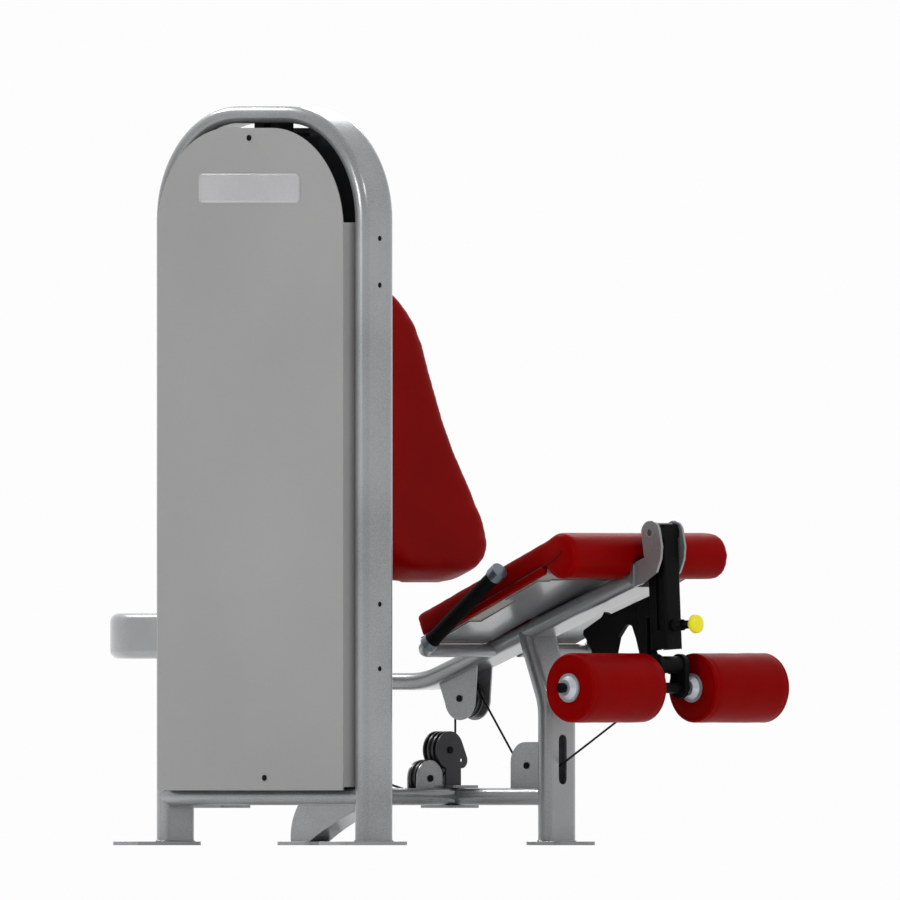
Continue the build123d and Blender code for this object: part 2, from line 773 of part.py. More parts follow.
def make_cable():
    tie, leave, angle = lever_run()

    def seat(y, z):
        return point(0, y, z)

    def cross(x, z):
        return point(x, CROSS_Y, z)

    def tower(y, z):
        return point(TOWER_X, y, z)

    with BuildPart() as cable_lever_run:
        start = turned(tie, 9.5, angle)
        with BuildLine() as path:
            Line(seat(*start), seat(*leave))
        with BuildSketch(Plane(origin=path.line @ 0, z_dir=path.line % 0)):
            Circle(CABLE_R)
        sweep(path=path.line)
    save(cable_lever_run, "cable_lever_run")

    fall = degrees(angle)
    rise = degrees(rising_angle())
    slant = degrees(atan2(P4[1] - P3[1], P4[0] - P3[0]))
    climb = degrees(atan2(P5[1] - P4[1], P5[0] - P4[0]))
    with BuildPart() as cable_frame_run:
        with BuildLine() as path:
            wound(P1, fall - 90, rise - 90, seat)
            Line(path.line @ 1, seat(*turned(P2, PITCH_R, radians(rise + 90))))
            wound(P2, rise + 90, 0, seat)
            Line(path.line @ 1, cross(*turned(P3, PITCH_R, 0)))
            wound(P3, 0, slant + 90, cross)
            Line(path.line @ 1, cross(*turned(P4, PITCH_R, radians(slant + 90))))
            wound(P4, slant + 90, climb - 270, cross)
            Line(path.line @ 1, cross(*turned(P5, PITCH_R, radians(climb - 270))))
            wound(P5, climb - 270, -180, cross)
            Line(path.line @ 1, tower(*turned(P6, PITCH_R, 0)))
            wound(P6, 0, 90, tower)
            Line(path.line @ 1, tower(*turned(P7, PITCH_R, radians(90))))
            wound(P7, 90, 180, tower)
        with BuildSketch(Plane(origin=path.line @ 0, z_dir=path.line % 0)):
            Circle(CABLE_R)
        sweep(path=path.line)
    length = sum(edge.length for edge in path.edges())
    ratio = cable_frame_run.part.volume / (length * pi * CABLE_R**2)
    print(f"frame run {length:.0f} long, volume against section times length {ratio:.4f}")
    save(cable_frame_run, "cable_frame_run")

    head_z = STACK_Z + (RESTING + LIFTED) * PLATE_H + HEAD_H + 16
    with BuildPart() as cable_stack_run:
        with BuildSketch(level(head_z)):
            with Locations((TOWER_X, STACK_Y)):
                Circle(CABLE_R)
        extrude(amount=TOP_PULLEY_Z - head_z)
    save(cable_stack_run, "cable_stack_run")

    with BuildPart() as cable_tie:
        with BuildSketch(side(-2.4)):
            with Locations(tie):
                Circle(9)
                Circle(5.02, mode=Mode.SUBTRACT)
        extrude(amount=4.8)
        with BuildSketch(side(-8)):
            with Locations(tie):
                Circle(5)
        extrude(amount=16)
    save(cable_tie, "cable_tie")


# ---------------------------------------------------------------- knee lever
def make_lever():
    with BuildPart() as lever_tube:
        mid = (LEVER_FRONT + LEVER_BACK) / 2
        depth = LEVER_BACK - LEVER_FRONT
        tall = LEVER_TOP - LEVER_BOTTOM
        with BuildSketch(leaning(0)):
            with Locations((mid, (LEVER_TOP + LEVER_BOTTOM) / 2)):
                Rectangle(depth, tall)
        extrude(amount=LEVER_HALF, both=True)
        upright = lever_tube.edges().filter_by(GeomType.LINE).filter_by(
            lambda e: abs((e % 0).Z) > 0.99)
        fillet(upright, 5)
        with BuildSketch(leaning(0)):
            with Locations((mid, (LEVER_TOP + LEVER_BOTTOM) / 2)):
                Rectangle(depth - 8, tall + 1)
        extrude(amount=LEVER_HALF - 4, both=True, mode=Mode.SUBTRACT)
        with BuildSketch(leaning(HUB[0])):
            Circle(22)
        extrude(amount=HUB[1] - HUB[0])
        with BuildSketch(leaning(HUB[0] - 1)):
            Circle(11)
        extrude(amount=HUB[1] - HUB[0] + 2, mode=Mode.SUBTRACT)
        with BuildSketch(leaning(-LEVER_HALF)):
            with Locations((3, -146)):
                SlotOverall(142, 12, rotation=90)
        extrude(amount=6, mode=Mode.SUBTRACT)
        for x in (-16.5, 7.5):
            with BuildSketch(leaning(x)):
                with Locations((LEVER_BACK, (-140 + LEVER_BOTTOM - 5) / 2)):
                    Rectangle(16, -140 - LEVER_BOTTOM + 5)
            extrude(amount=9, mode=Mode.SUBTRACT)
        with BuildSketch(lever_front()):
            with Locations((0, -LEVER_PIN_DROP)):
                Circle(8)
        extrude(amount=-8, mode=Mode.SUBTRACT)
    save(lever_tube, "lever_tube")

    with BuildPart() as knee_bushes:
        for x, direction in ((HUB[0], 1), (HUB[1], -1)):
            with BuildSketch(leaning(x)):
                Circle(10.98)
                Circle(AXLE_R + FIT, mode=Mode.SUBTRACT)
            extrude(amount=direction * 30)
    save(knee_bushes, "knee_bushes")

    with BuildPart() as lever_cam:
        with BuildSketch(side(-6)):
            with Locations(CAM_HUB):
                Circle(CAM_R)
            with BuildLine():
                Polyline(
                    (19.8, 431), (25.9, 549), (38, 549), (165, 507), (181, 513), (195, 494),
                    (219, 443), (104, 423), (40, 400), (19.8, 431))
            make_face()
            with BuildLine():
                Polyline(
                    (-30, 560), (26, 560), (19.8, 431), (36, 424), (36, 385), (24, 362),
                    (14, 350), (-30, 350), (-30, 560))
            make_face(mode=Mode.SUBTRACT)
            with BuildLine():
                Polyline((26, 550), (38, 549), (165, 507), (181, 513), (240, 540), (240, 620),
                         (26, 620), (26, 550))
            make_face(mode=Mode.SUBTRACT)
            with BuildLine():
                Polyline((183, 505), (245, 473), (247, 464), (232, 447), (219, 425), (200, 440),
                         (183, 505))
            make_face()
            with Locations(TIE):
                Circle(11)
            with BuildLine():
                Line((72, 423), (82, 454))
                Line((82, 454), (94, 481))
                ThreePointArc((94, 481), (103, 485), (122, 477))
                Line((122, 477), (139, 457))
                Line((139, 457), (148.5, 423))
                ThreePointArc((148.5, 423), (110.2, 385), (72, 423))
            make_face(mode=Mode.SUBTRACT)
            with Locations((75, 487), (46, 450)):
                Circle(4, mode=Mode.SUBTRACT)
            with Locations(TIE):
                Circle(5.02, mode=Mode.SUBTRACT)
        extrude(amount=12)
        with BuildSketch(side(-2.8)):
            with Locations(CAM_HUB):
                Circle(CAM_R + 14)
                Circle(CAM_R - 8, mode=Mode.SUBTRACT)
            with Locations((120, 375)):
                Rectangle(300, 136, mode=Mode.INTERSECT)
            with Locations(TIE):
                Circle(12)
            with BuildLine():
                Polyline(TIE, (49, 315), (20, 300), (0, 330), TIE)
            make_face()
        extrude(amount=5.6, mode=Mode.SUBTRACT)
    save(lever_cam, "lever_cam")


def make_pop_pin(name, plane, reach):
    """Spring plunger: pin and mushroom knob on one axis, tip at the plane."""
    with BuildPart() as pin:
        with BuildSketch(plane):
            Circle(PIN_STEM_R)
        extrude(amount=reach)
        with BuildSketch(plane.offset(reach)):
            Circle(KNOB_R)
        extrude(amount=KNOB_H)
        fillet(pin.edges().filter_by(GeomType.CIRCLE).sort_by(
            lambda e: plane.to_local_coords(e.center()).Z)[-1], 9)
    save(pin, name)


def make_shin_slide():
    """Bar inside the lever, its guide bolt, the two hanger plates and the yoke's pipe."""
    with BuildPart() as shin_carriage:
        with BuildSketch(leaning(0)):
            with Locations((5.8, -128)):
                Rectangle(41.6, 174)
        extrude(amount=18.5, both=True)
        with BuildSketch(leaning(-LEVER_HALF)):
            with Locations((3, -82)):
                Circle(4.5)
        extrude(amount=5.5)
        for x in (-15, 9):
            with BuildSketch(side(x)):
                with BuildLine():
                    Polyline(
                        (12, 500), (14, 538), (50, 538), (66, 520), (66, 432), (34, 392),
                        (-6, 376), (-16, 386), (-16, 408), (-4, 412), (24, 404), (38, 428),
                        (38, 500), (12, 500))
                make_face()
            extrude(amount=6)
        with BuildSketch(side(-31.5)):
            with Locations((YOKE_Y, YOKE_Z)):
                Circle(19)
        extrude(amount=63)
        with BuildSketch(side(-31.5)):
            with Locations((YOKE_Y, YOKE_Z)):
                Circle(10 + FIT)
        extrude(amount=63, mode=Mode.SUBTRACT)
    save(shin_carriage, "shin_carriage")


def make_yoke():
    with BuildPart() as yoke_cheeks:
        for x in (-43, 32):
            with BuildSketch(side(x)):
                with Locations((YOKE_Y, (YOKE_Z + ROLLER_Z) / 2)):
                    Rectangle(48, YOKE_Z - ROLLER_Z)
                with Locations((YOKE_Y, YOKE_Z), (YOKE_Y, ROLLER_Z)):
                    Circle(24)
                with Locations((YOKE_Y, YOKE_Z)):
                    Circle(10.02, mode=Mode.SUBTRACT)
                with Locations((YOKE_Y, ROLLER_Z)):
                    Circle(9.52, mode=Mode.SUBTRACT)
            extrude(amount=11)
    save(yoke_cheeks, "yoke_cheeks")

    with BuildPart() as yoke_axles:
        with BuildSketch(side(-46)):
            with Locations((YOKE_Y, YOKE_Z)):
                Circle(10)
        extrude(amount=92)
        with BuildSketch(side(-RIGHT_END + NUT)):
            with Locations((YOKE_Y, ROLLER_Z)):
                Circle(9.5)
        extrude(amount=2 * (RIGHT_END - NUT))
        with BuildSketch(side(-31.9)):
            with Locations((YOKE_Y, ROLLER_Z)):
                Circle(12)
        extrude(amount=63.8)
        for x in (-RIGHT_END, RIGHT_END - NUT):
            with BuildSketch(side(x)):
                with Locations((YOKE_Y, ROLLER_Z)):
                    Circle(11)
            extrude(amount=NUT)
        for x in (-53, 43):
            with BuildSketch(side(x)):
                with Locations((YOKE_Y, ROLLER_Z)):
                    Circle(14)
            extrude(amount=10)
    save(yoke_axles, "yoke_axles")


def make_roller(name, sign):
    spindle = Axis(point(0, YOKE_Y, ROLLER_Z), (1, 0, 0))
    plane = Plane(origin=point(0, YOKE_Y, ROLLER_Z), x_dir=(1, 0, 0), z_dir=(0, -1, 0))
    with BuildPart() as pad:
        with BuildSketch(plane):
            with Locations((sign * (ROLLER_IN + ROLLER_OUT) / 2, (ROLLER_R + 17) / 2)):
                Rectangle(ROLLER_OUT - ROLLER_IN, ROLLER_R - 17)
        revolve(axis=spindle)
        fillet(pad.edges().filter_by(GeomType.CIRCLE).group_by(SortBy.RADIUS)[-1], 7)
    save(pad, f"{name}_pad")

    with BuildPart() as hub:
        with BuildSketch(plane):
            with Locations((sign * (ROLLER_IN + ROLLER_OUT) / 2, (16.9 + 9.5 + FIT) / 2)):
                Rectangle(ROLLER_OUT - ROLLER_IN + 8, 16.9 - 9.5 - FIT)
        revolve(axis=spindle)
        for end, out in ((ROLLER_OUT, 1), (ROLLER_IN, -1)):
            with BuildSketch(plane):
                with BuildLine():
                    a, b, c = (sign * (end + out * s) for s in (0.1, 4, 16))
                    Polyline((a, 9.6), (a, 32), (b, 32), (b, 26), (c, 18), (c, 9.6), (a, 9.6))
                make_face()
            revolve(axis=spindle)
    save(hub, f"{name}_hub")


# ---------------------------------------------------------------- seat, back and handles
def seat_frame():
    """Plane across X at the seat's upper rear edge: sketch x runs up the seat to the front."""
    a = radians(SEAT_ANGLE)
    return Plane(origin=point(0, *SEAT_REAR), x_dir=(0, -cos(a), sin(a)), z_dir=(-1, 0, 0))


def seat_notch():
    """Room for the beam and the knee bracket, cut out of everything under the seat."""
    top = TUBE_T / 2 / cos(radians(19.2)) + 1.5
    with BuildPart(mode=Mode.PRIVATE) as notch:
        with BuildSketch(side(0)):
            with BuildLine():
                Polyline((20, 500), (20, 634), (59, 634), (59, beam_height(59) + top),
                         (570, beam_height(570) + top), (570, 340), (20, 500))
            make_face()
        extrude(amount=TUBE_W / 2 + 2, both=True)
    return notch.part


def make_seat():
    roll = seat_frame().to_local_coords(point(0, *SEAT_ROLL))
    notch = seat_notch()
    board_end = roll.X - 60

    with BuildPart() as seat_board:
        with BuildSketch(seat_frame()):
            with Locations(((12 + board_end) / 2, -SEAT_THICK + BOARD / 2)):
                Rectangle(board_end - 12, BOARD)
        extrude(amount=SEAT_HALF - 14, both=True)
        add(notch, mode=Mode.SUBTRACT)
    save(seat_board, "seat_board")

    with BuildPart() as seat_pad:
        with BuildSketch(seat_frame()):
            with Locations((roll.X / 2, -SEAT_THICK / 2)):
                Rectangle(roll.X, SEAT_THICK)
            with Locations((roll.X, roll.Y)):
                Circle(SEAT_ROLL_R)
        extrude(amount=SEAT_HALF, both=True)
        with BuildSketch(seat_frame()):
            with Locations(((12 + board_end) / 2, -SEAT_THICK + BOARD / 2 - 5)):
                Rectangle(board_end - 12, BOARD + 10)
        extrude(amount=SEAT_HALF - 14, both=True, mode=Mode.SUBTRACT)
        add(notch, mode=Mode.SUBTRACT)
    save(seat_pad, "seat_pad")

    with BuildPart() as seat_pan:
        with BuildSketch(level(0)):
            with Locations((0, 324.5)):
                Rectangle(372, 319)
            with Locations((0, 222), (0, 434)):
                Rectangle(444, 100)
        extrude(amount=700)
        below = Plane(
            origin=seat_frame().from_local_coords((0, -SEAT_THICK, 0)), x_dir=(1, 0, 0),
            z_dir=seat_frame().y_dir)
        split(bisect_by=below, keep=Keep.BOTTOM)
        split(bisect_by=below.offset(-PAN), keep=Keep.TOP)
        add(notch, mode=Mode.SUBTRACT)
    save(seat_pan, "seat_pan")


def back_frame():
    """Plane across X on the back pad's front face: sketch x runs rearward, sketch y up it."""
    a = radians(BACK_ANGLE)
    return Plane(origin=point(0, *BACK_FRONT), x_dir=(0, cos(a), -sin(a)), z_dir=(1, 0, 0))


def make_back():
    plane = back_frame()
    face = Plane(origin=plane.origin, x_dir=(1, 0, 0), z_dir=-plane.x_dir)
    with BuildPart() as back_pad:
        with BuildSketch(face.offset(-BACK_THICK)):
            with BuildLine():
                right = [(w, h) for h, w in BACK_HALF_WIDTHS]
                left = [(-w, h) for h, w in reversed(BACK_HALF_WIDTHS)]
                Polyline(*right, *left, right[0])
            make_face()
        extrude(amount=BACK_THICK)
    save(back_pad, "back_pad")

    with BuildPart() as back_board:
        with BuildSketch(face.offset(-BACK_THICK)):
            with Locations((0, 250)):
                RectangleRounded(200, 520, 30)
        extrude(amount=-12)
    save(back_board, "back_board")

    rear = BACK_THICK + 12
    with BuildPart() as back_carriage:
        with BuildSketch(front(SLIDE_REAR)):
            with Locations((0, SLEEVE_Z)):
                RectangleRounded(50, 50, 4)
                RectangleRounded(43, 43, 2, mode=Mode.SUBTRACT)
        extrude(amount=SLIDE_REAR - 850)
        split(bisect_by=face.offset(-rear - 40), keep=Keep.BOTTOM)
        with BuildSketch(face.offset(-rear)):
            with Locations((0, 235)):
                Rectangle(50, 430)
        extrude(amount=-40)
        with BuildSketch(face.offset(-rear - 3)):
            with Locations((0, 235)):
                Rectangle(44, 424)
        extrude(amount=-34, mode=Mode.SUBTRACT)
    save(back_carriage, "back_carriage")

    with BuildPart() as back_sleeve:
        with BuildSketch(front(SLEEVE_REAR)):
            with Locations((0, SLEEVE_Z)):
                RectangleRounded(SLEEVE, SLEEVE, 6)
                RectangleRounded(50.8, 50.8, 4, mode=Mode.SUBTRACT)
        extrude(amount=SLEEVE_REAR - SLEEVE_FRONT)
        with BuildSketch(level(SLEEVE_Z)):
            with Locations((0, BACK_PIN_Y)):
                Circle(8)
        extrude(amount=SLEEVE, mode=Mode.SUBTRACT)
    save(back_sleeve, "back_sleeve")


def make_handles():
    (y0, z0), (y1, z1) = HANDLE_START, HANDLE_END
    length = hypot(y1 - y0, z1 - z0)
    dy, dz = (y1 - y0) / length, (z1 - z0) / length

    def along(sign, distance):
        return point(sign * HANDLE_X, y0 + dy * distance, z0 + dz * distance)

    def ring(sign, start, span, outer, inner):
        plane = Plane(origin=along(sign, start), x_dir=(1, 0, 0), z_dir=(0, dy, dz))
        with BuildSketch(plane) as section:
            Circle(outer)
            if inner:
                Circle(inner, mode=Mode.SUBTRACT)
        extrude(section.sketch, amount=span)

    with BuildPart() as handle_tubes:
        for sign in (-1, 1):
            with BuildLine() as path:
                FilletPolyline(
                    point(0, y0, z0), point(sign * HANDLE_X, y0, z0), along(sign, 40), radius=18)
            with BuildSketch(Plane(origin=path.line @ 0, z_dir=path.line % 0)):
                Circle(HANDLE_R)
            sweep(path=path.line)
            ring(sign, 40, length - 44, 11, 0)
        add(beam_solid(0), mode=Mode.SUBTRACT)
        with BuildSketch(side(0)):
            with Locations((y0, z0)):
                Rectangle(60, 60)
        extrude(amount=TUBE_W / 2 - 8, both=True, mode=Mode.SUBTRACT)
    save(handle_tubes, "handle_tubes")

    with BuildPart() as handle_grips:
        for sign in (-1, 1):
            ring(sign, 40.2, length - 64.4, 16.5, 11.02)
    save(handle_grips, "handle_grips")

    with BuildPart() as handle_caps:
        for sign in (-1, 1):
            ring(sign, 22, 18, 19.5, HANDLE_R + 0.02)
            ring(sign, length - 24, 20, 19.5, 11.02)
            ring(sign, length - 4, 4, 19.5, 0)
    save(handle_caps, "handle_caps")


def main():
    make_tower_arch()
    make_tower_base()
    make_foot_plates()
    make_guards()
    make_stack_frame()
    make_weights()
    make_seat_beam()
    make_post()
    make_base_tube()
    make_cross_tube()
    make_base_plates()
    make_mast()
    make_knee_mount()
    make_pulleys()
    make_pulley_brackets()
    make_cable()
    make_lever()
    make_shin_slide()
    lever_pin = lever_front()
    lever_pin.origin = leaning(0).from_local_coords((LEVER_FRONT - 1, -LEVER_PIN_DROP, 0))
    make_pop_pin("lever_pop_pin", lever_pin, PIN_REACH)
    back_pin = Plane(origin=point(0, BACK_PIN_Y, SLEEVE_Z + 25.6), z_dir=(0, 0, 1))
    make_pop_pin("back_pop_pin", back_pin, PIN_REACH - 10)
    make_yoke()
    make_roller("roller_left", 1)
    make_roller("roller_right", -1)
    make_seat()
    make_back()
    make_handles()


main()
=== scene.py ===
"""Leg extension machine: looks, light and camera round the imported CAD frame."""
import json
import math

import bmesh
import bpy
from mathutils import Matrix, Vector, noise


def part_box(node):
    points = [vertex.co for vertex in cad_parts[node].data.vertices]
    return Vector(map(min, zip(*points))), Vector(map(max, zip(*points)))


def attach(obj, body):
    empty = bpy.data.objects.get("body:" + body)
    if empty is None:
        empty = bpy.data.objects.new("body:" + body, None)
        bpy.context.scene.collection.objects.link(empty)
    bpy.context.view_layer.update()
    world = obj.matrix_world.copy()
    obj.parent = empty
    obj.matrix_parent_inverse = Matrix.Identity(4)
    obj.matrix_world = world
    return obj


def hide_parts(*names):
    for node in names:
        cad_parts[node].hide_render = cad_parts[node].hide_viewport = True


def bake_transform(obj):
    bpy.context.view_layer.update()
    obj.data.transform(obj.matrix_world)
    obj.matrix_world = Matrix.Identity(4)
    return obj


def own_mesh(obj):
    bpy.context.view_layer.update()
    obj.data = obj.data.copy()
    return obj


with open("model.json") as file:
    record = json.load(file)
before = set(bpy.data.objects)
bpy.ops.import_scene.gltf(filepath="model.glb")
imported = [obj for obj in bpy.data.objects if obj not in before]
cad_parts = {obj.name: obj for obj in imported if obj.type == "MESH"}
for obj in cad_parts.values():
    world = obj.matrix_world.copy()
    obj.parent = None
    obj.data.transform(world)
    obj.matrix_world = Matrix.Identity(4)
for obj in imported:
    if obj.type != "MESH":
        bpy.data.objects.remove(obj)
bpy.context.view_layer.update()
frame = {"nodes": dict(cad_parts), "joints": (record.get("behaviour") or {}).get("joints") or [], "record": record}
NODES = frame["nodes"]
JOINTS = {joint["name"]: joint for joint in frame["joints"]}
KNEE = Vector(JOINTS["knee"]["pos_m"])

# Places in millimetres, from the seat's middle, the knee axis and the floor.
KNEE_HEIGHT = 687.0
LEVER_LEAN = math.radians(3)
PLUNGER_FACE = 22.0  # start of the lever's plunger, ahead of the knee axis
PLUNGER_DROP = 205.0  # and below it, along the lever
TOWER_X = -758.0
TOWER_LEGS = (145.5, 763.0)
POST_Y = 334.5
MAST_Y = 1009.0
HOOP_HEIGHT = 460.0
PLATE_TOP = 8.8  # weld height round a leg on its foot plate
BASE_TOP = 126.6  # weld height round the mast on the base tube
TUBE_WIDTH = 100.0
TUBE_HEIGHT = 38.0
SLIDE_HEIGHT = 720.0
HANDLE_X = 258.0
HANDLE_START = (495.0, 428.0)
HANDLE_END = (253.0, 605.0)
GUARD_HEM_TOP = 1.366  # metres
CABLE_R = 2.4


def at(x, y, z):
    """A point measured in millimetres from the seat's middle, the knee axis and the floor."""
    return Vector((KNEE.x + x / 1000, KNEE.y + y / 1000, z / 1000))


# ------------------------------------------------------------------ camera and light
VIEW = Vector((1, 1, 0)).normalized()
AIM = at(-333.2, 333.2, 869.4)


def add_camera():
    data = bpy.data.cameras.new("camera")
    data.type = "ORTHO"
    data.ortho_scale = 1.980
    camera = bpy.data.objects.new("camera", data)
    bpy.context.collection.objects.link(camera)
    camera.location = AIM - VIEW * 6
    camera.rotation_euler = VIEW.to_track_quat("-Z", "Y").to_euler()
    bpy.context.scene.camera = camera


def add_area(name, place, target, size, power):
    data = bpy.data.lights.new(name, "AREA")
    data.energy = power
    data.size = size
    lamp = bpy.data.objects.new(name, data)
    bpy.context.collection.objects.link(lamp)
    lamp.location = place
    lamp.rotation_euler = (Vector(target) - Vector(place)).to_track_quat("-Z", "Y").to_euler()


def add_studio():
    world = bpy.data.worlds.new("studio")
    bpy.context.scene.world = world
    world.use_nodes = True
    nodes, links = world.node_tree.nodes, world.node_tree.links
    nodes["Background"].inputs["Color"].default_value = (1, 1, 1, 1)
    place = nodes.new("ShaderNodeTexCoord")
    ahead = nodes.new("ShaderNodeVectorMath")
    ahead.operation = "DOT_PRODUCT"
    ahead.inputs[1].default_value = VIEW
    links.new(place.outputs["Generated"], ahead.inputs[0])
    glow = nodes.new("ShaderNodeMapRange")
    glow.interpolation_type = "SMOOTHSTEP"
    glow.inputs["From Min"].default_value = -0.55
    glow.inputs["From Max"].default_value = 0.45
    glow.inputs["To Min"].default_value = 0.6
    glow.inputs["To Max"].default_value = 0.98
    links.new(ahead.outputs["Value"], glow.inputs["Value"])
    links.new(glow.outputs["Result"], nodes["Background"].inputs["Strength"])
    bpy.context.scene.view_settings.view_transform = "Standard"
    add_area("key", (0.4, -4.4, 3.6), (0, 0, 0.8), 0.6, 30)
    add_area("crown", (-0.6, 4.2, 5.2), (-0.4, 0, 1.2), 1.2, 160)
    add_area("fill", (-5.0, -0.8, 2.4), (0, 0, 0.8), 0.8, 60)
    add_area("rim", (3.5, 2.5, 4.0), (0, 0, 0.8), 2.0, 60)
    mesh = bpy.data.meshes.new("floor")
    mesh.from_pydata([(-9, -9, 0), (9, -9, 0), (9, 9, 0), (-9, 9, 0)], [], [(0, 1, 2, 3)])
    floor = bpy.data.objects.new("floor", mesh)
    bpy.context.collection.objects.link(floor)
    material = bpy.data.materials.new("floor")
    material.use_nodes = True
    shader = material.node_tree.nodes["Principled BSDF"]
    shader.inputs["Base Color"].default_value = (0.85, 0.85, 0.85, 1)
    shader.inputs["Roughness"].default_value = 0.7
    mesh.materials.append(material)


# ------------------------------------------------------------------ materials
def surface(name, color, dark, rough, metallic=0.0, grain=0.0, grain_size=900.0, mottle=6.0,
            coat=0.0, specular=0.5, cells=False, rough_span=0.08, wear=None, fleck=0.6):
    """Procedural finish: mottled colour, grain or cell bump, uneven gloss and worn edges."""
    material = bpy.data.materials.new(name)
    material.use_nodes = True
    nodes, links = material.node_tree.nodes, material.node_tree.links
    shader = nodes["Principled BSDF"]
    shader.inputs["Metallic"].default_value = metallic
    shader.inputs["Coat Weight"].default_value = coat
    shader.inputs["Coat Roughness"].default_value = 0.1
    shader.inputs["Specular IOR Level"].default_value = specular
    place = nodes.new("ShaderNodeTexCoord")
    broad = nodes.new("ShaderNodeTexNoise")
    broad.inputs["Scale"].default_value = mottle
    broad.inputs["Detail"].default_value = 4
    fine = nodes.new("ShaderNodeTexNoise")
    fine.inputs["Scale"].default_value = grain_size
    fine.inputs["Detail"].default_value = 2
    for texture in (broad, fine):
        links.new(place.outputs["Object"], texture.inputs["Vector"])
    blend = nodes.new("ShaderNodeMath")
    blend.operation = "MULTIPLY_ADD"
    links.new(fine.outputs["Fac"], blend.inputs[0])
    blend.inputs[1].default_value = fleck
    share = nodes.new("ShaderNodeMath")
    share.operation = "MULTIPLY"
    links.new(broad.outputs["Fac"], share.inputs[0])
    share.inputs[1].default_value = 0.5
    links.new(share.outputs[0], blend.inputs[2])
    ramp = nodes.new("ShaderNodeValToRGB")
    ramp.color_ramp.elements[0].position = 0.38
    ramp.color_ramp.elements[1].position = 0.72
    ramp.color_ramp.elements[0].color = (*dark, 1)
    ramp.color_ramp.elements[1].color = (*color, 1)
    links.new(blend.outputs[0], ramp.inputs["Fac"])
    colour_out = ramp.outputs["Color"]
    if wear:
        geometry = nodes.new("ShaderNodeNewGeometry")
        rounded = nodes.new("ShaderNodeBevel")
        rounded.samples = 4
        rounded.inputs["Radius"].default_value = 0.0016
        turn = nodes.new("ShaderNodeVectorMath")
        turn.operation = "DOT_PRODUCT"
        links.new(rounded.outputs["Normal"], turn.inputs[0])
        links.new(geometry.outputs["Normal"], turn.inputs[1])
        edge = nodes.new("ShaderNodeMapRange")
        edge.inputs["From Min"].default_value = 0.99
        edge.inputs["From Max"].default_value = 0.8
        links.new(turn.outputs["Value"], edge.inputs["Value"])
        mix = nodes.new("ShaderNodeMix")
        mix.data_type = "RGBA"
        links.new(edge.outputs["Result"], mix.inputs["Factor"])
        links.new(colour_out, mix.inputs["A"])
        mix.inputs["B"].default_value = (*wear, 1)
        colour_out = mix.outputs["Result"]
    links.new(colour_out, shader.inputs["Base Color"])
    gloss = nodes.new("ShaderNodeMapRange")
    gloss.inputs["To Min"].default_value = rough - rough_span
    gloss.inputs["To Max"].default_value = rough + rough_span
    links.new(broad.outputs["Fac"], gloss.inputs["Value"])
    links.new(gloss.outputs["Result"], shader.inputs["Roughness"])
    if grain:
        source = fine.outputs["Fac"]
        if cells:
            cell = nodes.new("ShaderNodeTexVoronoi")
            cell.feature = "DISTANCE_TO_EDGE"
            cell.inputs["Scale"].default_value = grain_size * 0.55
            links.new(place.outputs["Object"], cell.inputs["Vector"])
            source = cell.outputs["Distance"]
        bump = nodes.new("ShaderNodeBump")
        bump.inputs["Strength"].default_value = grain
        bump.inputs["Distance"].default_value = 0.0004
        links.new(source, bump.inputs["Height"])
        if wear:
            links.new(rounded.outputs["Normal"], bump.inputs["Normal"])
        links.new(bump.outputs["Normal"], shader.inputs["Normal"])
    return material


